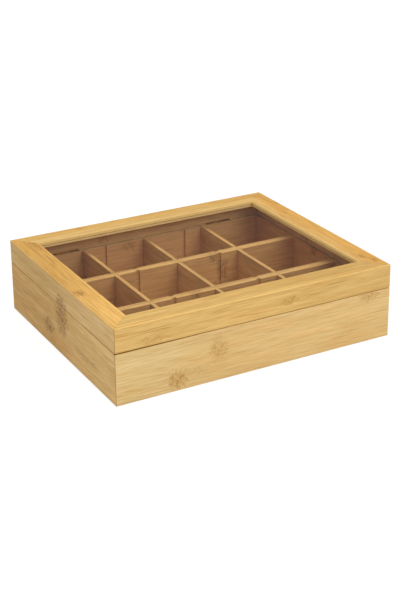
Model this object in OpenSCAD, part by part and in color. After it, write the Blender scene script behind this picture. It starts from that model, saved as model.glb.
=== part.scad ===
// Tea bag organizer box of bamboo, with a hinged, glazed lid and twelve compartments.
// The origin is the centre of the underside. X runs left to right, Y front to back, Z up.

/* [Box] */
// Width of the box, left to right
box_w = 290; // [240:1:360]
// Depth of the box, front to back
box_d = 240; // [200:1:320]
// Height of the base, from the table to the seam
base_h = 50; // [40:1:80]
// Height of the lid
lid_h = 23.5; // [20:0.5:40]
// Gap between the base and the closed lid, which hangs on its hinges
seam_gap = 0.5; // [0.3:0.1:0.8]

/* [Base] */
// Thickness of the base's walls
wall_t = 9; // [8:0.5:12]
// Thickness of the floor panel
floor_t = 3; // [2:0.5:5]
// Height of the floor panel's underside above the table
floor_z = 3; // [2:0.5:6]
// Depth of the groove that holds the floor panel
floor_groove = 3; // [2:0.5:5]
// Play of the floor panel at each edge, inside its groove
floor_play = 0.2; // [0.1:0.1:0.5]

/* [Compartments] */
// Thickness of the fixed dividers, which run left to right
divider_t = 8; // [7:0.5:12]
// Depth of the housings in the side walls that hold the dividers' ends
housing_depth = 3; // [2:0.5:5]
// Thickness of the lift-out partitions, which run front to back
partition_t = 4; // [3:0.5:6]
// Depth of the upright grooves that hold the partitions
slot_depth = 2; // [1:0.25:3]
// Play of a partition at each side and at each end, inside its grooves
partition_play = 0.2; // [0.1:0.05:0.4]

/* [Lid] */
// Width of the lid's frame, from the outer face to the window
frame_w = 22; // [18:1:30]
// Thickness of the lid's frame
frame_t = 7.5; // [6.5:0.5:12]
// Thickness of the lip under the pane
lower_lip = 2; // [1.5:0.5:4]
// Thickness of the pane
pane_t = 2; // [1.5:0.5:3]
// Depth of the groove that holds the pane
pane_groove = 4; // [3:0.5:8]
// Play of the pane at each edge and above it, inside its groove
pane_play = 0.2; // [0.1:0.1:0.5]
// Clearance between the lid's apron and the bottoms of the partitions' grooves
lift_clear = 0.2; // [0.1:0.1:0.5]

/* [Edges] */
// Radius of the rounded edges along the seam
seam_r = 0.8; // [0.5:0.1:1.5]
// Radius of the rounded edge round the top of the lid
top_r = 1.2; // [0.5:0.1:3]
// Radius of the box's four upright corners
corner_r = 1; // [0.5:0.1:3]
// Radius of the window's upper edge
window_r = 0.8; // [0.3:0.1:1.5]
// Radius of the base's bottom edge
bottom_r = 1; // [0.3:0.1:1.5]
// Radius of the top edges of the dividers and partitions
board_r = 0.6; // [0.2:0.1:1.2]

/* [Hinges] */
// Length of a hinge
hinge_len = 30; // [26:1:50]
// Distance from the box's side to the near end of a hinge
hinge_end = 41; // [25:1:60]
// Length of a hinge's middle knuckle, which belongs to the base
mid_knuckle = 9.2; // [6:0.2:12]
// Length of the two knuckles beside it, which belong to the lid
side_knuckle = 6.6; // [4:0.2:8]
// Axial gap between neighbouring knuckles
knuckle_gap = 0.4; // [0.2:0.1:0.8]
// Outer radius of the knuckles
knuckle_r = 1.7; // [1.5:0.1:2]
// Radius of the pin
pin_r = 0.8; // [0.6:0.1:1]
// Radial clearance of the pin in the knuckles
pin_clear = 0.04; // [0.02:0.01:0.08]
// Thickness of the leaves
leaf_t = 0.8; // [0.6:0.1:1]
// Gap between the two closed leaves
leaf_gap = 1.2; // [0.9:0.1:1.4]
// How far the leaves' free edges stand back from the inside of the lid's apron
leaf_setback = 0.2; // [0:0.1:0.5]
// Clearance of the leaves and knuckles in the wood
leaf_clear = 0.3; // [0.1:0.1:0.5]
// Opening angle at which the rounded back edges of the seam meet and stop the lid
lid_open = 100; // [92:1:110]

/* [Screws] */
// Distance from a leaf's end to its nearer screw
screw_end = 4; // [3:0.5:6]
// Radius of a screw's shank
screw_r = 0.8; // [0.6:0.1:1]
// Radius of a screw's countersunk head
screw_head_r = 1.4; // [1.2:0.1:1.6]
// Height of the domed top of the head above the leaf
screw_dome = 0.3; // [0.1:0.05:0.4]
// Width of the slots of the cross in the head
cross_w = 0.4; // [0.3:0.1:0.6]
// Length of the slots of the cross
cross_len = 1.8; // [1.4:0.1:2.2]
// Depth of the cross below the leaf's face
cross_depth = 0.4; // [0.2:0.1:0.5]
// Length of a screw, from the leaf's face to its tip
screw_len = 8; // [6:0.5:9]
// Length of a screw's point
screw_tip = 2; // [1:0.5:3]
// Clearance round a screw in its leaf and in the wood
screw_clear = 0.05; // [0.02:0.01:0.1]

/* [Hidden] */
$fn = 48;
columns = 4;
spare_columns = 3;
rows = 3;
over = 1;

inner_w = box_w - 2 * wall_t;
inner_d = box_d - 2 * wall_t;
floor_top = floor_z + floor_t;
board_h = base_h - floor_top;
row_d = (inner_d - (rows - 1) * divider_t) / rows;
divider_len = inner_w + 2 * housing_depth;
partition_len = row_d + 2 * (slot_depth - partition_play);
slot_w = partition_t + 2 * partition_play;

// The lid's apron is thinner than the walls, so that the partitions lift past it
apron_t = wall_t - slot_depth - lift_clear;
apron_h = lid_h - frame_t;
pane_z = apron_h + lower_lip;
pane_inset = frame_w - pane_groove + pane_play;

// The pin's axis lies in the middle of the seam. The centre of each rounded back edge is
// round_y in front of it and round_z above or below, so that the two meet at lid_open.
round_z = seam_r + seam_gap / 2;
round_y = (seam_r - round_z * cos(lid_open / 2)) / sin(lid_open / 2);
axis_inset = seam_r - round_y;
axis_y = box_d / 2 - axis_inset;
axis_z = base_h + seam_gap / 2;
hinge_x = box_w / 2 - hinge_end - hinge_len / 2;
leaf_w = apron_t - axis_inset - leaf_setback;
mortise_depth = leaf_t + leaf_gap / 2;
leaf_root = knuckle_r + leaf_clear;
screw_x = hinge_len / 2 - screw_end;
screw_y = (leaf_w + leaf_root) / 2;
knuckles = 5;

// X of upright number i, counted from 1, where n equal columns share the width
function upright_x(n, i) =
    i * (inner_w - (n - 1) * partition_t) / n + (i - 0.5) * partition_t - inner_w / 2;

// Y of the divider behind row i, counted from 1 at the front
function divider_y(i) = i * (row_d + divider_t) - divider_t / 2 - inner_d / 2;

// Y of the middle of row i
function row_y(i) = (i - 0.5) * row_d + (i - 1) * divider_t - inner_d / 2;

// X of the left end of knuckle k, counted from 0; the right end is that of the next one
function knuckle_x(k) =
    k > knuckles / 2 ? -knuckle_x(knuckles - k)
    : k == 0 ? -hinge_len / 2
    : -mid_knuckle / 2 - (2 - k) * side_knuckle;

// X of every groove in a long face: those in use, then the spare ones
function slot_xs() = concat(
    [for (i = [1 : columns - 1]) upright_x(columns, i)],
    [for (i = [1 : spare_columns - 1]) upright_x(spare_columns, i)]
);

// ---- Shared shapes ----

// Waste of a rounded corner whose square point is at the origin, with the solid at +X +Y
module corner_waste(r) {
    difference() {
        translate([-over, -over]) square(r + over);
        translate([r, r]) circle(r);
    }
}

// Rectangle with its lower left point at the origin; r lists the radii at bottom left,
// bottom right, top right and top left
module eased_rect(w, h, r) {
    difference() {
        square([w, h]);
        if (r[0] > 0) corner_waste(r[0]);
        if (r[1] > 0) translate([w, 0]) rotate(90) corner_waste(r[1]);
        if (r[2] > 0) translate([w, h]) rotate(180) corner_waste(r[2]);
        if (r[3] > 0) translate([0, h]) rotate(270) corner_waste(r[3]);
    }
}

// Plan of a rail, mitred at both ends: it runs along X with its outer face at Y = 0
module mitred_plan(len, width) {
    difference() {
        polygon([[-len / 2, 0], [len / 2, 0], [len / 2 - width, width], [width - len / 2, width]]);
        translate([-len / 2, 0]) corner_waste(corner_r);
        translate([len / 2, 0]) rotate(90) corner_waste(corner_r);
    }
}

// Rail of a mitred frame; its section is the child, with X inwards and Y up
module mitred_rail(len, width, h) {
    intersection() {
        translate([-len / 2, 0, 0]) rotate([90, 0, 90]) linear_extrude(len) children();
        linear_extrude(h) mitred_plan(len, width);
    }
}

// ---- Base ----

module wall_section() {
    difference() {
        eased_rect(wall_t, base_h, [bottom_r, 0, 0, seam_r]);
        translate([wall_t - floor_groove, floor_z]) square([floor_groove + over, floor_t]);
    }
}

// Wall with its outer face at Y = 0
module base_wall(len) {
    mitred_rail(len, wall_t, base_h) wall_section();
}

// Groove for a partition, cut into a face that looks along +Y at Y = 0
module slot() {
    translate([-slot_w / 2, -slot_depth, floor_top])
        cube([slot_w, slot_depth + over, board_h + over]);
}

// Long wall of the base, with the grooves for the partitions
module slotted_wall() {
    difference() {
        base_wall(box_w);
        for (x = slot_xs()) translate([x, wall_t, 0]) slot();
    }
}

// Side wall of the base, with the housings for the dividers
module housed_wall() {
    difference() {
        base_wall(box_d);
        for (i = [1 : rows - 1])
            translate([divider_y(i) - divider_t / 2, wall_t - housing_depth, floor_top])
                cube([divider_t, housing_depth + over, board_h + over]);
    }
}

module base_front_wall() {
    color("burlywood") translate([0, -box_d / 2, 0]) slotted_wall();
}

module base_back_wall() {
    color("burlywood") difference() {
        translate([0, box_d / 2, 0]) rotate(180) slotted_wall();
        at_hinges() {
            mortise(wall_t);
            screw_holes();
        }
    }
}

module base_left_wall() {
    color("burlywood") translate([-box_w / 2, 0, 0]) rotate(-90) housed_wall();
}

module base_right_wall() {
    color("burlywood") translate([box_w / 2, 0, 0]) rotate(90) housed_wall();
}

module base_floor() {
    margin = floor_groove - floor_play;
    color("tan") translate([-inner_w / 2 - margin, -inner_d / 2 - margin, floor_z])
        cube([inner_w + 2 * margin, inner_d + 2 * margin, floor_t]);
}

// ---- Dividers and partitions ----

// Upright board on the floor panel, centred, t thick along Y
module board(len, t) {
    translate([-len / 2, -t / 2, floor_top])
        rotate([90, 0, 90]) linear_extrude(len) eased_rect(t, board_h, [0, 0, board_r, board_r]);
}

module divider(i) {
    color("tan") difference() {
        translate([0, divider_y(i), 0]) board(divider_len, divider_t);
        for (x = slot_xs()) {
            translate([x, divider_y(i) + divider_t / 2, 0]) slot();
            translate([x, divider_y(i) - divider_t / 2, 0]) rotate(180) slot();
        }
    }
}

module partition(row, i) {
    color("wheat") translate([upright_x(columns, i), row_y(row), 0])
        rotate(90) board(partition_len, partition_t);
}

// ---- Lid ----

module rail_section() {
    difference() {
        union() {
            eased_rect(apron_t, apron_h + over, [seam_r, 0, 0, 0]);
            translate([0, apron_h]) eased_rect(frame_w, frame_t, [0, 0, window_r, top_r]);
        }
        translate([frame_w - pane_groove, pane_z]) square([pane_groove + over, pane_t + pane_play]);
    }
}

// Rail of the lid with its outer face at Y = 0 and its underside at Z = 0
module lid_rail(len) {
    mitred_rail(len, frame_w, lid_h) rail_section();
}

module lid_front_rail() {
    color("burlywood") translate([0, -box_d / 2, base_h + seam_gap]) lid_rail(box_w);
}

module lid_back_rail() {
    color("burlywood") difference() {
        translate([0, box_d / 2, base_h + seam_gap]) rotate(180) lid_rail(box_w);
        at_hinges() mirror([0, 0, 1]) {
            mortise(apron_t);
            screw_holes();
        }
    }
}

module lid_left_rail() {
    color("burlywood") translate([-box_w / 2, 0, base_h + seam_gap]) rotate(-90) lid_rail(box_d);
}

module lid_right_rail() {
    color("burlywood") translate([box_w / 2, 0, base_h + seam_gap]) rotate(90) lid_rail(box_d);
}

module lid_pane() {
    pane_w = box_w - 2 * pane_inset;
    pane_d = box_d - 2 * pane_inset;
    color("lightcyan", 0.4) translate([-pane_w / 2, -pane_d / 2, base_h + seam_gap + pane_z])
        cube([pane_w, pane_d, pane_t]);
}

// ---- Hinges ----
// Each is drawn round the pin's axis, which runs along X, with the base's half below Z = 0

// Place of the hinge on the left (-1) or the right (1)
module at_hinge(side) {
    translate([side * hinge_x, axis_y, axis_z]) children();
}

module at_hinges() {
    for (side = [-1, 1]) at_hinge(side) children();
}

// Room for a leaf and the knuckles, in a wall or apron t thick
module mortise(t) {
    room = hinge_len + 2 * leaf_clear;
    reach = t + over - axis_inset;
    translate([-room / 2, -reach, -mortise_depth]) cube([room, reach, mortise_depth + over]);
    translate([-room / 2, 0, 0]) rotate([0, 90, 0]) cylinder(h = room, r = leaf_root);
}

// Countersunk head, shank and point below the leaf's face, made larger by clear
module shank(clear) {
    head_h = screw_head_r - screw_r;
    rotate_extrude() polygon([
        [0, 0],
        [screw_head_r + clear, 0],
        [screw_r + clear, -head_h],
        [screw_r + clear, -screw_len + screw_tip - clear],
        [0, -screw_len - clear]
    ]);
}

// Domed top of a head, and the cross cut into it
module screw() {
    dome_r = (screw_head_r * screw_head_r + screw_dome * screw_dome) / (2 * screw_dome);
    difference() {
        union() {
            shank(0);
            intersection() {
                translate([0, 0, screw_dome - dome_r]) sphere(dome_r);
                cylinder(h = over, r = screw_head_r);
            }
        }
        for (turn = [0, 90]) rotate(turn)
            translate([-cross_len / 2, -cross_w / 2, -cross_depth])
                cube([cross_len, cross_w, cross_depth + over]);
    }
}

// Places of a leaf's screws, at the leaf's face
module at_screws() {
    for (side = [-1, 1])
        translate([side * screw_x, -screw_y, -leaf_gap / 2]) children();
}

module screw_holes() {
    at_screws() {
        shank(screw_clear);
        cylinder(h = over, r = screw_head_r + screw_clear);
    }
}

// Knuckle number k, counted from 0 at the left end, with the tongue that joins it to the leaf
module knuckle(k) {
    from = knuckle_x(k) + (k > 0 ? knuckle_gap / 2 : 0);
    to = knuckle_x(k + 1) - (k < knuckles - 1 ? knuckle_gap / 2 : 0);
    translate([from, 0, 0]) {
        rotate([0, 90, 0]) cylinder(h = to - from, r = knuckle_r);
        translate([0, -leaf_root, -mortise_depth]) cube([to - from, leaf_root, leaf_t]);
    }
}

// Leaf that carries the knuckles in the list
module leaf(own) {
    difference() {
        union() {
            translate([-hinge_len / 2, -leaf_w, -mortise_depth])
                cube([hinge_len, leaf_w - leaf_root, leaf_t]);
            for (k = own) knuckle(k);
        }
        translate([-hinge_len / 2 - over, 0, 0]) rotate([0, 90, 0])
            cylinder(h = hinge_len + 2 * over, r = pin_r + pin_clear);
        screw_holes();
    }
}

module base_leaf(side) {
    color("darkgoldenrod") at_hinge(side) leaf([0, 2, 4]);
}

module lid_leaf(side) {
    color("darkgoldenrod") at_hinge(side) mirror([0, 0, 1]) leaf([1, 3]);
}

module hinge_pin(side) {
    color("goldenrod") at_hinge(side) translate([-hinge_len / 2, 0, 0])
        rotate([0, 90, 0]) cylinder(h = hinge_len, r = pin_r);
}

module base_hinge_screws() {
    color("gold") at_hinges() at_screws() screw();
}

module lid_hinge_screws() {
    color("gold") at_hinges() mirror([0, 0, 1]) at_screws() screw();
}

base_front_wall();
base_back_wall();
base_left_wall();
base_right_wall();
base_floor();
divider(1);  // front_divider
divider(2);  // rear_divider
partition(1, 1);  // partition_front_left
partition(1, 2);  // partition_front_centre
partition(1, 3);  // partition_front_right
partition(2, 1);  // partition_middle_left
partition(2, 2);  // partition_middle_centre
partition(2, 3);  // partition_middle_right
partition(3, 1);  // partition_rear_left
partition(3, 2);  // partition_rear_centre
partition(3, 3);  // partition_rear_right
lid_front_rail();
lid_back_rail();
lid_left_rail();
lid_right_rail();
lid_pane();
base_leaf(-1);  // left_hinge_base_leaf
lid_leaf(-1);  // left_hinge_lid_leaf
hinge_pin(-1);  // left_hinge_pin
base_leaf(1);  // right_hinge_base_leaf
lid_leaf(1);  // right_hinge_lid_leaf
hinge_pin(1);  // right_hinge_pin
base_hinge_screws();
lid_hinge_screws();
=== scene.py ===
"""Finish, light and camera of the bamboo tea bag organizer box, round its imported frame."""

from collections import namedtuple
from functools import reduce
from math import radians, sqrt

import bpy
from mathutils import Matrix, Vector


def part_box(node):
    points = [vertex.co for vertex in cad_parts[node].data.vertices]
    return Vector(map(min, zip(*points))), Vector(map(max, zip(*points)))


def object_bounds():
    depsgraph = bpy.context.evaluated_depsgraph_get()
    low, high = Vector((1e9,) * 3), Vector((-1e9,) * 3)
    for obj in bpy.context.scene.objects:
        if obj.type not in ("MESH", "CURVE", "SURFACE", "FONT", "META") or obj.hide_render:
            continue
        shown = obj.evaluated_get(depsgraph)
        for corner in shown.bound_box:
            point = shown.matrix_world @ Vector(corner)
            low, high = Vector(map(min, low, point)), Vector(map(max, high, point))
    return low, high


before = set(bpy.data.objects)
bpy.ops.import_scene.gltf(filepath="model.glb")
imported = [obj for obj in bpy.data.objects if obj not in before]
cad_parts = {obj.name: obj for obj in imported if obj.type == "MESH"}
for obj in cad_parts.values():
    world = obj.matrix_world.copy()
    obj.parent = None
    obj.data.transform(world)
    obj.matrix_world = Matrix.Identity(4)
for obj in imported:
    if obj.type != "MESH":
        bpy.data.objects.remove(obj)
cad_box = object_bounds()

MM = 0.001

# ---- Places on the box, in millimetres ----


def in_mm(corners):
    """Corners in millimetres, to the nearest hundredth."""
    return [Vector([round(side / MM, 2) for side in corner]) for corner in corners]


_, wall_high = in_mm(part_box("base_front_wall"))
rail_low, rail_high = in_mm(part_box("lid_front_rail"))
pane_low, pane_high = in_mm(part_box("lid_pane"))

# The corner that grain and knots are measured from. The origin is the middle of the underside
FRONT_LEFT = in_mm(cad_box)[0]
HALF_W, HALF_D = -FRONT_LEFT.x, -FRONT_LEFT.y

# Thickness of the lip under the pane
LIP_T = 2

# Heights of the seam's middle, of the underside of the lid's frame, and of the pane's top
SEAM_Z = (wall_high.z + rail_low.z) / 2
FRAME_Z = pane_low.z - LIP_T
PANE_Z = pane_high.z

# From the outer faces to the inside of the lid's apron, to the line between the two strips of the
# lid's top, and to the window
APRON_IN = 6.8
STRIPS_MEET = 13.6
WINDOW_IN = rail_high.y - rail_low.y


# ---- Shader graphs ----


def srgb(red, green, blue):
    """Linear colour with alpha 1 of a colour given from 0 to 255."""

    def linear(value):
        value /= 255
        return value / 12.92 if value <= 0.04045 else ((value + 0.055) / 1.055) ** 2.4

    return (linear(red), linear(green), linear(blue), 1.0)


def tint(red, green, blue):
    """What a linear colour is multiplied by."""
    return (red, green, blue, 1.0)


class Graph:
    """Adds nodes to a shader tree. An input is a number, a colour, a vector or a node's output."""

    def __init__(self, tree):
        self.tree = tree

    def link(self, output, socket):
        self.tree.links.new(output, socket)

    def fill(self, socket, value):
        """Links a node's output to the socket, or sets it to a plain value."""
        if isinstance(value, bpy.types.NodeSocket):
            self.link(value, socket)
        else:
            socket.default_value = value

    def add(self, kind, inputs=None, **settings):
        node = self.tree.nodes.new(kind)
        for name, value in settings.items():
            setattr(node, name, value)
        for socket, value in (inputs or {}).items():
            self.fill(node.inputs[socket], value)
        return node

    def math(self, operation, *values):
        node = self.add("ShaderNodeMath", dict(enumerate(values)), operation=operation)
        return node.outputs[0]

    def product(self, *values):
        return reduce(lambda first, second: self.math("MULTIPLY", first, second), values)

    def vector(self, operation, *values):
        node = self.add("ShaderNodeVectorMath", dict(enumerate(values)), operation=operation)
        return node.outputs["Value" if operation in ("LENGTH", "DOT_PRODUCT") else "Vector"]

    def split(self, vector):
        return self.add("ShaderNodeSeparateXYZ", {0: vector}).outputs[:]

    def join(self, x, y, z):
        return self.add("ShaderNodeCombineXYZ", {0: x, 1: y, 2: z}).outputs[0]

    def place(self):
        """Place on the part, in millimetres from its front left corner, as it is at rest."""
        place = self.add("ShaderNodeTexCoord").outputs["Object"]
        return self.vector("SUBTRACT", self.vector("DIVIDE", place, (MM, MM, MM)), FRONT_LEFT)

    def normal(self):
        """Direction that the surface faces, as it is at rest."""
        return self.add("ShaderNodeTexCoord").outputs["Normal"]

    def noise(self, place, size, detail=2, roughness=0.5):
        """Noise from 0 to 1 whose features measure size = (x, y, z) in millimetres."""
        place = self.vector("DIVIDE", place, size)
        inputs = {"Vector": place, "Scale": 1, "Detail": detail, "Roughness": roughness}
        return self.add("ShaderNodeTexNoise", inputs).outputs["Fac"]

    def sway(self, place, size, reach, detail=2):
        """Noise from -reach to reach."""
        centred = self.math("SUBTRACT", self.noise(place, size, detail), 0.5)
        return self.math("MULTIPLY", centred, 2 * reach)

    def random(self, place):
        """Random value and colour of a cell."""
        node = self.add("ShaderNodeTexWhiteNoise", {"Vector": place})
        return node.outputs["Value"], node.outputs["Color"]

    def step(self, value, start, end, low=0.0, high=1.0):
        """Smooth step from low, at start, to high, at end."""
        inputs = {"Value": value, "From Min": start, "From Max": end, "To Min": low, "To Max": high}
        return self.add("ShaderNodeMapRange", inputs, interpolation_type="SMOOTHSTEP").outputs[0]

    def scale(self, value, low, high):
        """Value from 0 to 1, mapped to low to high."""
        return self.math("MULTIPLY_ADD", value, high - low, low)

    def ramp(self, value, stops):
        """Colour between (position, colour) stops."""
        node = self.add("ShaderNodeValToRGB", {"Fac": value})
        elements = node.color_ramp.elements
        while len(elements) < len(stops):
            elements.new(0.5)
        for element, (position, colour) in zip(elements, stops):
            element.position = position
            element.color = colour
        return node.outputs["Color"]

    def blend(self, factor, first, second, mode="MIX"):
        """Colour from first, at factor 0, to second, at 1."""
        node = self.add("ShaderNodeMix", data_type="RGBA", blend_type=mode)
        values = {"Factor": factor, "A": first, "B": second}
        for socket in node.inputs:
            if socket.enabled and socket.name in values:
                self.fill(socket, values[socket.name])
        return next(socket for socket in node.outputs if socket.enabled)

    def multiply(self, colour, by):
        return self.blend(1.0, colour, by, "MULTIPLY")

    def shade(self, colour, value):
        """Colour times a grey value."""
        return self.multiply(colour, self.join(value, value, value))

    def mix_shaders(self, factor, first, second):
        inputs = {0: factor, 1: first.outputs[0], 2: second.outputs[0]}
        return self.add("ShaderNodeMixShader", inputs)


def new_material(name):
    """Material with one Principled shader; gives the material, its graph and the shader."""
    material = bpy.data.materials.new(name)
    material.use_nodes = True
    graph = Graph(material.node_tree)
    return material, graph, material.node_tree.nodes["Principled BSDF"]


def coat(node, material):
    """Gives a CAD node its material."""
    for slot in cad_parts[node].material_slots:
        slot.material = material


# ---- Knots, in millimetres ----

# at is the middle from the box's front left corner, size its length along the grain, its width
# through the board, which a top face shows, and its height
Knot = namedtuple("Knot", "at size strength")

# Size of a knot's strokes along the grain, through the board and up
UPRIGHT_STROKES = (1.8, 1.8, 4.6)
LYING_STROKES = (4.5, 1.8, 2.4)

# Where a knot starts and is full, and how ragged it is, as shares of half its size
KNOT_START, KNOT_FULL, KNOT_RAGGED = 1.15, 0.4, 0.8

# How much wider a knot's strokes are at its top, and how narrow they may get below it
FAN_SPREAD, FAN_NARROWEST = 0.5, 0.35

# Where a chance node starts and is full, from its middle, how ragged it is, and its strength
NODE_START, NODE_FULL, NODE_RAGGED, NODE_STRENGTH = 9, 2, 6, 0.7

# Where in the strokes' noise the dark strokes start and are full, and the light flecks
DARK_STROKES, LIGHT_FLECKS = (0.44, 0.6), (0.42, 0.3)

# How much a knot's cloud, its dark strokes and its light flecks cover what is under them
CLOUD_SHARE, STROKE_SHARE, FLECK_SHARE = 0.6, 0.65, 0.3


def with_swapped_place(knot):
    """The knot where X and Y change places."""
    x, y, z = knot.at
    return knot._replace(at=(y, x, z))


def knot_strokes(g, along, curl, stroke):
    return g.noise(g.vector("ADD", along, curl), stroke, 3, 0.6)


def knot_shape(g, along, ragged, curl, stroke, knot):
    """How far the surface is inside a knot, from 0 to 1, and its strokes, which fan out upwards."""
    reach = tuple(side / 2 for side in knot.size)
    from_middle = g.vector("SUBTRACT", along, knot.at)
    away = g.vector("LENGTH", g.vector("DIVIDE", from_middle, reach))
    away = g.math("MULTIPLY_ADD", ragged, KNOT_RAGGED, away)
    inside = g.step(away, KNOT_START, KNOT_FULL, 0.0, knot.strength)
    x, y, z = g.split(from_middle)
    spread = g.math("MULTIPLY_ADD", z, FAN_SPREAD / reach[2], 1.0)
    fan = g.join(g.math("DIVIDE", x, g.math("MAXIMUM", spread, FAN_NARROWEST)), y, z)
    return inside, knot_strokes(g, fan, curl, stroke)


def chance_nodes(g, along, ragged, chance, node_gap):
    """How far the surface is inside a chance node, which crosses its strip once every node_gap."""
    turn = g.math("FRACT", g.math("ADD", g.math("DIVIDE", g.split(along)[0], node_gap), chance))
    away = g.math("MULTIPLY", g.math("ABSOLUTE", g.math("SUBTRACT", turn, 0.5)), node_gap)
    away = g.math("MULTIPLY_ADD", ragged, NODE_RAGGED, away)
    return g.step(away, NODE_START, NODE_FULL, 0.0, NODE_STRENGTH)


def knots_and_strokes(g, along, knots, stroke, chance, node_gap):
    """Knots named one by one, and chance nodes where node_gap isn't 0, with the strokes of both."""
    ragged = g.sway(along, (3.5, 3.5, 3.5), 1.0, 3)
    curl = g.join(g.sway(along, (4, 4, 4), 2.2), 0.0, g.sway(along, (5, 5, 5), 1.5))
    inside, strokes = 0.0, 0.5
    if node_gap:
        inside = chance_nodes(g, along, ragged, chance, node_gap)
        strokes = knot_strokes(g, along, curl, stroke)
    for knot in knots:
        more, its_strokes = knot_shape(g, along, ragged, curl, stroke, knot)
        nearer = g.math("GREATER_THAN", more, inside)
        strokes = g.add("ShaderNodeMix", {0: nearer, 2: strokes, 3: its_strokes}).outputs[0]
        inside = g.math("MAXIMUM", inside, more)
    return inside, strokes


def paint_knots(g, colour, inside, strokes, tone):
    """Each knot is a warm cloud with dark strokes and light flecks; gives the dark strokes too."""
    dark = g.product(g.step(strokes, *DARK_STROKES), inside)
    light = g.product(g.step(strokes, *LIGHT_FLECKS), inside)
    colour = g.blend(g.product(inside, CLOUD_SHARE), colour, tone.streak)
    colour = g.blend(g.product(dark, STROKE_SHARE), colour, tone.knot)
    return g.blend(g.product(light, FLECK_SHARE), colour, tone.pale), dark


# ---- Strips and grain, in millimetres ----

# Height of a strip, thickness of a ply, and the height at which the lid's strips start
STRIP, PLY = 21.0, 5.5
LID_STRIP_START = 52

# How far a glue line reaches to either side of its middle before it fades, and its share
GLUE_REACH, GLUE_SHARE = 0.16, 0.3

# The darkest and the lightest strip
STRIP_SHADES = (0.95, 1.04)

# How far the grain is moved from strip to strip, so that no two are alike
STRIP_MOVE = (300, 40, 40)

# Scales of the grain, from the coarsest to the finest: the length of a feature along the fibres,
# its width across them, the detail and roughness of its noise, and its share
Grain = namedtuple("Grain", "length width detail roughness share")
GRAINS = [
    Grain(110, 8, 2, 0.5, 0.3),
    Grain(75, 2.2, 2, 0.5, 0.25),
    Grain(32, 0.9, 3, 0.6, 0.75),
    Grain(16, 0.35, 2, 0.5, 0.6),
]

# Where on the grain, from 0 to 1, the dark fibres, the ground and the pale fibres are pure
DARKEST, GROUND, PALEST = 0.22, 0.5, 0.78

# How much of the dark lines shows on the base and on the lid, and of the rosy patches
BASE_LINES, LID_LINES, ROSY_SHARE = 0.35, 0.5, 0.7


def strip_cell(g, along, seed, strip_start):
    """Random value and vector of each strip of each ply, and the distance to the nearest glue line."""
    _, through, up = g.split(along)
    strips = g.math("DIVIDE", g.math("SUBTRACT", up, strip_start), STRIP)
    plies = g.math("DIVIDE", through, PLY)
    chance, chances = g.random(g.join(g.math("FLOOR", strips), g.math("FLOOR", plies), seed))
    from_middle = g.math("ABSOLUTE", g.math("SUBTRACT", g.math("FRACT", strips), 0.5))
    return chance, chances, g.math("MULTIPLY", g.math("SUBTRACT", 0.5, from_middle), STRIP)


def fibres(g, along, chances, inside):
    """Grain from about 0, dark, to 1, pale, its finest fibres, its dark lines and its rosy patches."""
    place = g.vector("ADD", along, g.vector("MULTIPLY", chances, STRIP_MOVE))
    bend = g.sway(place, (180, 40, 40), 1.2)
    round_knots = g.product(g.sway(place, (6, 4, 4), 2.4), inside)
    bend = g.math("ADD", bend, round_knots)
    place = g.vector("ADD", place, g.join(0.0, bend, bend))
    grain = 0.5
    for length, width, detail, roughness, share in GRAINS:
        noise = g.noise(place, (length, width, width), detail, roughness)
        grain = g.math("ADD", grain, g.product(g.math("SUBTRACT", noise, 0.5), share))
    finest = noise
    lines = g.noise(g.vector("ADD", place, (0, 60, 60)), (34, 1.1, 1.1), 1)
    rosy = g.noise(g.vector("ADD", place, (90, 0, 0)), (50, 5, 5), 2)
    return grain, finest, g.step(lines, 0.6, 0.78), g.step(rosy, 0.45, 0.75)


# ---- Edges and faces, in millimetres ----

# How near a sharp edge the wood is worn and gets its painted highlight, and how much of that pale
# colour shows
WORN_RADIUS, WORN_AND_HIGHLIGHT_SHARE = 1.0, 0.45

# How far from its middle a mitre's line ends, and its share on upright and on top faces
MITRE_REACH, MITRE_SHARE, MITRE_TOP_SHARE = 0.35, 0.8, 0.3

# How far from the front the painted shadow in the seam ends, how far from the seam's middle it ends
# and is full, its share, and where it fades along X, with its strength before and after
SEAM_DEPTH, SEAM_REACH, SEAM_FULL, SEAM_SHADOW_SHARE = 3.0, 0.95, 0.45, 0.9
SEAM_FADE = (25, 110, 1.0, 0.2)

# How much the edges of the plies show on top faces
PLIES_SHARE = 0.3

# How far up a face has to look to start to be a top face, and to be one
TOP_FACE = (0.3, 0.9)


def worn_and_highlit_edge(g, place):
    """Near 1 on rounded and sharp edges, in uneven stretches: worn thin lacquer, and a painted
    highlight where the edges catch the light.
    """
    x, y, z = g.split(g.vector("ABSOLUTE", g.normal()))
    squarest = g.math("MAXIMUM", g.math("MAXIMUM", x, y), z)
    rounded = g.step(squarest, 0.995, 0.95)
    softened = g.add("ShaderNodeBevel", {"Radius": WORN_RADIUS * MM}, samples=4).outputs[0]
    flat = g.add("ShaderNodeNewGeometry").outputs["Normal"]
    turned = g.math("SUBTRACT", 1.0, g.vector("DOT_PRODUCT", softened, flat))
    sharp = g.step(turned, 0.01, 0.08, 0.0, 0.6)
    patchy = g.step(g.noise(place, (18, 18, 18), 2), 0.3, 0.6, 0.55)
    return g.product(g.math("MAXIMUM", rounded, sharp), patchy)


def from_outside(g, place):
    """Distances to the nearer of the left and right faces, and to the nearer of front and back."""
    x, y, _ = g.split(place)
    from_side = g.math("SUBTRACT", HALF_W, g.math("ABSOLUTE", g.math("SUBTRACT", x, HALF_W)))
    from_front = g.math("SUBTRACT", HALF_D, g.math("ABSOLUTE", g.math("SUBTRACT", y, HALF_D)))
    return from_side, from_front


def mitre_line(g, from_side, from_front):
    """1 on the glue lines of the four mitres."""
    away = g.math("DIVIDE", g.math("ABSOLUTE", g.math("SUBTRACT", from_side, from_front)), sqrt(2))
    return g.step(away, MITRE_REACH, MITRE_REACH / 2)


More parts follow.
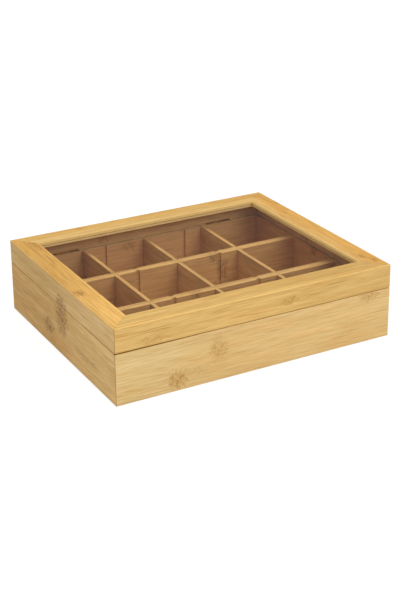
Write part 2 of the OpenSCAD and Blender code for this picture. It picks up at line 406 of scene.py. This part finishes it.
def painted_seam_shadow(g, place):
    """1 on the front edges of the seam, where a painted shadow darkens the gap between lid and base;
    it fades to the right.
    """
    x, y, z = g.split(place)
    front = g.step(y, SEAM_DEPTH, SEAM_DEPTH / 2)
    close = g.step(g.math("ABSOLUTE", g.math("SUBTRACT", z, SEAM_Z)), SEAM_REACH, SEAM_FULL)
    return g.product(front, close, g.step(x, *SEAM_FADE))


def inner_faces(g, nearest, z):
    """1 on the faces of walls and rails that look into the box, below the pane's top, where painted
    shade darkens the base and painted light lifts the lid.
    """
    under_pane = g.step(z, PANE_Z, PANE_Z - 0.5)
    return g.product(g.step(nearest, APRON_IN - 0.8, APRON_IN - 0.2), under_pane)


def window_faces(g, nearest, z):
    """1 on the lip under the pane, and on the window's edge over the pane, where painted light
    brightens faces that lie in shade.
    """
    at_window = g.step(nearest, WINDOW_IN - 0.6, WINDOW_IN - 0.2)
    under_pane = g.step(z, PANE_Z, PANE_Z - 0.5)
    lip = g.product(at_window, under_pane, g.step(z, FRAME_Z - 0.1, FRAME_Z + 0.2))
    return lip, g.product(at_window, g.step(z, PANE_Z - 0.5, PANE_Z))


def paint_top(g, colour, along, tone, upward):
    """Top faces have their own tint, which on the inner boards is a painted highlight where the light
    falls on their tops, and show the plies' edges as long dark lines.
    """
    plies = g.noise(g.vector("ADD", along, (0, 0, 90)), (260, 0.8, 0.8), 2)
    plies = g.step(plies, 0.5, 0.66, 0.0, PLIES_SHARE)
    return g.blend(upward, colour, g.blend(plies, g.multiply(colour, tone.top), tone.knot))


def paint_frame(g, colour, place, tone, upward, strips):
    """What walls and rails have and inner boards lack: top strips, mitres, the seam's painted shadow,
    painted shade or light on the inner faces, and the window's painted light.
    """
    from_side, from_front = from_outside(g, place)
    nearest = g.math("MINIMUM", from_side, from_front)
    z = g.split(place)[2]
    if strips:
        pair = g.blend(g.step(nearest, STRIPS_MEET - 0.2, STRIPS_MEET + 0.2), *strips)
        colour = g.blend(upward, colour, g.multiply(colour, pair))
    mitre = mitre_line(g, from_side, from_front)
    mitre = g.product(mitre, g.step(upward, 0.0, 1.0, MITRE_SHARE, MITRE_TOP_SHARE))
    colour = g.blend(mitre, colour, tone.knot)
    # Painted shadow of the gap between lid and base, along the front of the seam
    colour = g.blend(g.product(painted_seam_shadow(g, place), SEAM_SHADOW_SHARE), colour, SEAM_SHADOW_BROWN)
    # Faces inside the box: painted shade on the base's walls, darker and redder, and painted light on
    # the lid's aprons, which lie in shade under the frame
    inner = g.product(inner_faces(g, nearest, z), g.math("SUBTRACT", 1.0, upward))
    colour = g.blend(inner, colour, tone.inner, "MULTIPLY")
    # Painted light on the window's edge and on the lip under the pane, which lie in shade
    if tone.window:
        lip, window = window_faces(g, nearest, z)
        colour = g.blend(window, g.blend(lip, colour, LIP_PAINTED_LIGHT), tone.window)
    return colour


# ---- Bamboo ----

# Strength of the bumps, their height in millimetres, and how deep a knot's strokes lie in them
BUMP, BUMP_HEIGHT, STROKE_DEPTH = 0.3, 0.1, 0.5

# Roughness of dark and of pale fibres, and the shader's specular level
DARK_ROUGHNESS, PALE_ROUGHNESS, SPECULAR = 0.62, 0.46, 0.15

# Colours of the light fibres, the ground, the dark fibres, the knots and the worn edges, whose pale
# colour is also a painted highlight, and what the top faces are multiplied by. Walls and rails also
# have what their faces inside the box are multiplied by, painted shade on the base and painted light
# on the lid, and rails the painted-light colour of the window's edge
Tone = namedtuple("Tone", "pale honey streak knot edge top inner window", defaults=(None, None))

# What a board is multiplied by before start and after end, with a smooth change between them
Fade = namedtuple("Fade", "start end near far")


def bamboo(name, axis, seed, tone, knots=(), stroke=UPRIGHT_STROKES, node_gap=0.0, strip_start=0.0,
           lines=BASE_LINES, fade=None, mitred=True, strips=None):
    """Laminated bamboo with its grain along X or Y.

    The grain, its knots and its fade are worked out with X along the grain: where it runs along
    Y, X and Y change places. The edges and faces keep the box's own X and Y.
    """
    material, g, shader = new_material(name)
    place = g.place()
    along = place
    if axis == "Y":
        x, y, z = g.split(place)
        along = g.join(y, x, z)
        knots = [with_swapped_place(knot) for knot in knots]

    chance, chances, from_glue = strip_cell(g, along, seed, strip_start)
    inside, strokes = knots_and_strokes(g, along, knots, stroke, chance, node_gap)
    grain, fine, dark_lines, rosy = fibres(g, along, chances, inside)

    colour = g.ramp(grain, [(DARKEST, tone.streak), (GROUND, tone.honey), (PALEST, tone.pale)])
    colour = g.blend(g.product(rosy, ROSY_SHARE), colour, ROSY, "MULTIPLY")
    colour = g.blend(g.product(dark_lines, lines), colour, tone.knot)
    colour = g.shade(colour, g.scale(chance, *STRIP_SHADES))
    if fade:
        passed = g.step(g.split(along)[0], fade.start, fade.end)
        colour = g.multiply(colour, g.blend(passed, fade.near, fade.far))
    glue = g.step(from_glue, GLUE_REACH * 2, GLUE_REACH, 0.0, GLUE_SHARE)
    colour = g.blend(glue, colour, tone.streak)

    colour, dark_strokes = paint_knots(g, colour, inside, strokes, tone)
    # Pale colour on the edges: wear, and also a painted highlight where they catch the light
    colour = g.blend(g.product(worn_and_highlit_edge(g, place), WORN_AND_HIGHLIGHT_SHARE), colour, tone.edge)
    upward = g.step(g.split(g.normal())[2], *TOP_FACE)
    colour = paint_top(g, colour, along, tone, upward)
    if mitred:
        colour = paint_frame(g, colour, place, tone, upward, strips)

    height = g.math("SUBTRACT", g.math("ADD", grain, fine), g.product(dark_strokes, STROKE_DEPTH))
    bump = {"Strength": BUMP, "Distance": BUMP_HEIGHT * MM, "Height": height}
    g.link(colour, shader.inputs["Base Color"])
    g.link(g.step(grain, 0.2, 0.8, DARK_ROUGHNESS, PALE_ROUGHNESS), shader.inputs["Roughness"])
    g.link(g.add("ShaderNodeBump", bump).outputs[0], shader.inputs["Normal"])
    shader.inputs["Specular IOR Level"].default_value = SPECULAR
    return material


# ---- Metal and pane ----

# Size of the bloom and of the scratches on brass, and height of the scratches, in millimetres
BLOOM, SCRATCH, SCRATCH_HEIGHT = (2.5, 2.5, 2.5), (6, 0.12, 0.12), 0.02

# Roughness of polished and of dull brass, and the greatest share of its tarnish
BRASS_ROUGHNESS, TARNISH_SHARE = (0.06, 0.32), 0.5

# Size of the smudges on the pane, in millimetres, and its roughness where it is clean and smudged
SMUDGE, PANE_ROUGHNESS = (45, 30, 30), (0.03, 0.2)

# The pane's refractive index, how much of its gloss shows, and how much light it lets through
PANE_IOR, PANE_SHINE, PANE_CLEAR = 1.49, 0.12, 0.92


def brass(name, colour, tarnish):
    """Plated brass with fine scratches and a dull bloom."""
    material, g, shader = new_material(name)
    place = g.place()
    bloom = g.noise(place, BLOOM, 4, 0.6)
    tarnished = g.step(bloom, 0.45, 0.75, 0.0, TARNISH_SHARE)
    scratches = g.noise(place, SCRATCH, 2)
    bump = {"Strength": BUMP, "Distance": SCRATCH_HEIGHT * MM, "Height": scratches}
    g.link(g.blend(tarnished, colour, tarnish), shader.inputs["Base Color"])
    g.link(g.scale(bloom, *BRASS_ROUGHNESS), shader.inputs["Roughness"])
    g.link(g.add("ShaderNodeBump", bump).outputs[0], shader.inputs["Normal"])
    shader.inputs["Metallic"].default_value = 1.0
    return material


def clear_pane():
    """Clear acrylic that bends what is seen through it, shines a little and lets light straight in."""
    material, g, shader = new_material("pane_clear")
    g.tree.nodes.remove(shader)
    smudges = g.step(g.noise(g.place(), SMUDGE, 4, 0.6), 0.4, 0.75, *PANE_ROUGHNESS)
    bent = {"Color": srgb(250, 252, 250), "Roughness": 0.0, "IOR": PANE_IOR}
    through = g.add("ShaderNodeBsdfRefraction", bent)
    gloss = g.add("ShaderNodeBsdfGlossy", {"Roughness": smudges})
    straight = g.add("ShaderNodeBsdfTransparent", {"Color": tint(PANE_CLEAR, PANE_CLEAR, PANE_CLEAR)})
    fresnel = g.add("ShaderNodeFresnel", {"IOR": PANE_IOR}).outputs[0]
    outer = g.math("SUBTRACT", 1.0, g.add("ShaderNodeNewGeometry").outputs["Backfacing"])
    rays = g.add("ShaderNodeLightPath").outputs
    seen = g.mix_shaders(g.product(fresnel, PANE_SHINE), through, gloss)
    spread = g.mix_shaders(g.product(fresnel, outer), straight, gloss)
    bounced = g.mix_shaders(rays["Is Diffuse Ray"], seen, spread)
    mixed = g.mix_shaders(rays["Is Shadow Ray"], bounced, straight)
    g.link(mixed.outputs[0], g.tree.nodes["Material Output"].inputs["Surface"])
    return material


# ---- Colours and knots of the boards ----

PLAIN = tint(1.0, 1.0, 1.0)
ROSY = tint(1.04, 0.96, 0.88)
# The seam's brown is a painted shadow, and the lip's pale colour is painted light
SEAM_SHADOW_BROWN = srgb(150, 98, 0)
LIP_PAINTED_LIGHT = srgb(252, 218, 160)

# In these tones, inner is painted shade on the base's walls and painted light on the lid's aprons, and
# window is painted light on the window's edge
BASE_TONE = Tone(
    pale=srgb(230, 200, 144), honey=srgb(217, 183, 123), streak=srgb(197, 156, 92),
    knot=srgb(156, 110, 48), edge=srgb(244, 208, 144), top=PLAIN,
    inner=tint(0.92, 0.74, 0.7),
)
BASE_SIDE_TONE = Tone(
    pale=srgb(226, 190, 125), honey=srgb(208, 166, 98), streak=srgb(179, 133, 69),
    knot=srgb(106, 68, 18), edge=srgb(228, 190, 130), top=PLAIN,
    inner=tint(0.92, 0.74, 0.7),
)
LID_TONE = Tone(
    pale=srgb(230, 196, 126), honey=srgb(214, 175, 106), streak=srgb(192, 148, 76),
    knot=srgb(154, 104, 44), edge=srgb(244, 205, 132), top=tint(1.0, 0.98, 0.87),
    inner=tint(1.0, 0.92, 1.1), window=srgb(226, 188, 120),
)
LID_SIDE_TONE = Tone(
    pale=srgb(224, 192, 134), honey=srgb(208, 170, 108), streak=srgb(180, 138, 80),
    knot=srgb(112, 70, 28), edge=srgb(238, 198, 126), top=tint(1.08, 0.95, 0.62),
    inner=tint(1.12, 1.0, 1.2), window=srgb(255, 220, 140),
)
# The inner boards' top tint is a painted highlight: their tops are lit while their sides lie in shade
INNER_TONE = Tone(
    pale=srgb(222, 178, 118), honey=srgb(207, 159, 99), streak=srgb(177, 128, 72),
    knot=srgb(112, 68, 34), edge=srgb(236, 194, 136), top=tint(1.26, 1.26, 1.14),
)

# The outer and the inner strip on top of the back and right rails
TOP_STRIPS = (tint(1.0, 0.95, 0.8), tint(1.06, 1.1, 1.25))

BASE_FRONT_FADE = Fade(20, 110, tint(1.0, 1.06, 1.13), tint(0.99, 0.99, 0.99))
BASE_LEFT_FADE = Fade(30, 170, tint(1.13, 1.21, 1.33), tint(0.94, 0.91, 0.83))
LID_FRONT_FADE = Fade(150, 240, PLAIN, tint(0.91, 0.89, 0.87))
LID_LEFT_FADE = Fade(30, 170, tint(1.16, 1.18, 1.21), tint(0.97, 0.96, 0.87))

BASE_FRONT_KNOTS = [
    Knot((60.7, 0, 11.5), (24, 12, 24), 0.85),
    Knot((76, 0, 16), (34, 12, 9), 0.35),
    Knot((102.6, 0, 32), (21, 12, 26), 0.55),
    Knot((266, 0, 48), (26, 12, 17), 0.7),
]
BASE_BACK_KNOTS = [
    Knot((126, 236, 44), (22, 20, 16), 0.8),
    Knot((151, 236, 35), (20, 20, 15), 0.6),
    Knot((210, 240, 20), (26, 12, 24), 0.9),
]
BASE_LEFT_KNOTS = [
    Knot((0, 115, 40), (30, 12, 44), 1.0),
    Knot((0, 147, 19), (28, 12, 20), 1.0),
    Knot((0, 60, 20), (60, 12, 8), 0.35),
]
LID_FRONT_KNOTS = [
    Knot((177, 0, 62), (22, 12, 10), 0.6),
    Knot((37, 0, 56), (34, 12, 9), 0.4),
]
LID_LEFT_KNOTS = [
    Knot((0, 115, 54), (26, 10, 16), 1.0),
    Knot((6, 85, 74), (16, 12, 12), 1.0),
    Knot((17, 213, 74), (34, 10, 10), 0.7),
]


def board_materials():
    """Material of each bamboo node. Each board has its own strips, and its grain runs along it."""
    left = {"stroke": LYING_STROKES}
    lid = {"strip_start": LID_STRIP_START, "lines": LID_LINES}
    far_rail = {"node_gap": 280, "strips": TOP_STRIPS, **lid}
    inner = {"node_gap": 240, "mitred": False}
    boards = {
        "base_front_wall": bamboo(
            "bamboo_base_front", "X", 1, BASE_TONE, BASE_FRONT_KNOTS, fade=BASE_FRONT_FADE
        ),
        "base_back_wall": bamboo("bamboo_base_back", "X", 2, BASE_TONE, BASE_BACK_KNOTS),
        "base_left_wall": bamboo(
            "bamboo_base_left", "Y", 3, BASE_SIDE_TONE, BASE_LEFT_KNOTS, fade=BASE_LEFT_FADE, **left
        ),
        "base_right_wall": bamboo("bamboo_base_right", "Y", 4, BASE_SIDE_TONE, node_gap=230),
        "base_floor": bamboo("bamboo_floor", "X", 5, INNER_TONE, node_gap=260, mitred=False),
        "lid_front_rail": bamboo(
            "bamboo_lid_front", "X", 6, LID_TONE, LID_FRONT_KNOTS, fade=LID_FRONT_FADE, **lid
        ),
        "lid_back_rail": bamboo("bamboo_lid_back", "X", 7, LID_TONE, **far_rail),
        "lid_left_rail": bamboo(
            "bamboo_lid_left", "Y", 8, LID_SIDE_TONE, LID_LEFT_KNOTS, fade=LID_LEFT_FADE, **left, **lid
        ),
        "lid_right_rail": bamboo("bamboo_lid_right", "Y", 9, LID_SIDE_TONE, **far_rail),
    }
    for seed, name in enumerate(("front_divider", "rear_divider"), 10):
        boards[name] = bamboo("bamboo_" + name, "X", seed, INNER_TONE, **inner)
    partitions = sorted(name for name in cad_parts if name.startswith("partition_"))
    for seed, name in enumerate(partitions, 20):
        boards[name] = bamboo("bamboo_" + name, "Y", seed, INNER_TONE, **inner)
    return boards


def dress_boards():
    for name, material in board_materials().items():
        coat(name, material)


def dress_metal():
    hinge = brass("brass_hinge", srgb(228, 196, 128), srgb(150, 112, 60))
    screw = brass("brass_screw", srgb(238, 206, 138), srgb(170, 134, 80))
    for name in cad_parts:
        if name.endswith("_screws"):
            coat(name, screw)
        elif "hinge" in name:
            coat(name, hinge)


# ---- Studio, in metres ----

# How far the camera is turned to the right of +Y, tilted down and rolled, in degrees
YAW, PITCH, ROLL = 28.82, 20.10, -0.435
CAMERA_AT = Vector((-574.1, -1053.9, 556.1)) * MM

# Length of the lens and width of the sensor, in millimetres, and the vertical shift
LENS, SENSOR, LENS_SHIFT = 79.8, 36, -0.15

# Strength of the white world as light on the box, and as a background
WHITE = (1.0, 1.0, 1.0, 1.0)
DOME, BACKDROP = 0.55, 1.0

# The floor's side, and how far it lies below the box, so that the two don't flicker
FLOOR_SIZE, FLOOR_DROP = 8.0, 0.0003

# The floor's own colour and roughness, the strength of its glow, and how much of it is glow where
# it is seen
FLOOR_PALE, FLOOR_ROUGHNESS = (0.9, 0.9, 0.9, 1.0), 0.9
FLOOR_GLOW, GLOW_SHARE = 1.1, 0.8

# The point near the middle of the box that the lamps look at
LAMPS_AIM = Vector((0, 0, 0.04))


def place_camera():
    data = bpy.data.cameras.new("camera")
    data.lens = LENS
    data.sensor_width = SENSOR
    data.shift_y = LENS_SHIFT
    camera = bpy.data.objects.new("camera", data)
    turn = Matrix.Rotation(radians(-YAW), 4, "Z") @ Matrix.Rotation(radians(90 - PITCH), 4, "X")
    camera.matrix_world = Matrix.Translation(CAMERA_AT) @ turn @ Matrix.Rotation(radians(ROLL), 4, "Z")
    bpy.context.scene.collection.objects.link(camera)
    bpy.context.scene.camera = camera


def seen_directly(graph):
    """1 for camera, glossy and transmission rays, and 0 for the rays that light the box."""
    rays = graph.add("ShaderNodeLightPath").outputs
    seen = graph.math("MAXIMUM", rays["Is Camera Ray"], rays["Is Glossy Ray"])
    return graph.math("MAXIMUM", seen, rays["Is Transmission Ray"])


def light_world():
    world = bpy.data.worlds.new("studio")
    world.use_nodes = True
    graph = Graph(world.node_tree)
    background = world.node_tree.nodes["Background"]
    background.inputs["Color"].default_value = WHITE
    graph.link(graph.scale(seen_directly(graph), DOME, BACKDROP), background.inputs["Strength"])
    bpy.context.scene.world = world


def lay_floor():
    bpy.ops.mesh.primitive_plane_add(size=FLOOR_SIZE, location=(0, 0, -FLOOR_DROP))
    floor = bpy.context.object
    floor.name = "floor"
    material, g, shader = new_material("floor_white")
    shader.inputs["Base Color"].default_value = FLOOR_PALE
    shader.inputs["Roughness"].default_value = FLOOR_ROUGHNESS
    shader.inputs["Specular IOR Level"].default_value = 0.0
    glow = g.add("ShaderNodeEmission", {"Color": WHITE, "Strength": FLOOR_GLOW})
    mixed = g.mix_shaders(g.product(seen_directly(g), GLOW_SHARE), shader, glow)
    g.link(mixed.outputs[0], g.tree.nodes["Material Output"].inputs["Surface"])
    floor.data.materials.append(material)


def hang_lamp(name, place, size, power):
    """Square area lamp that looks at the box."""
    data = bpy.data.lights.new(name, "AREA")
    data.size = size
    data.energy = power
    lamp = bpy.data.objects.new(name, data)
    lamp.location = place
    lamp.rotation_euler = (LAMPS_AIM - Vector(place)).to_track_quat("-Z", "Y").to_euler()
    bpy.context.scene.collection.objects.link(lamp)


place_camera()
light_world()
lay_floor()
hang_lamp("key_lamp", place=(0.5, -1.5, 1.3), size=1.2, power=16)
hang_lamp("top_lamp", place=(-0.2, 0.2, 1.9), size=1.4, power=13)
dress_boards()
dress_metal()
coat("lid_pane", clear_pane())
bpy.context.scene.view_settings.view_transform = "Standard"
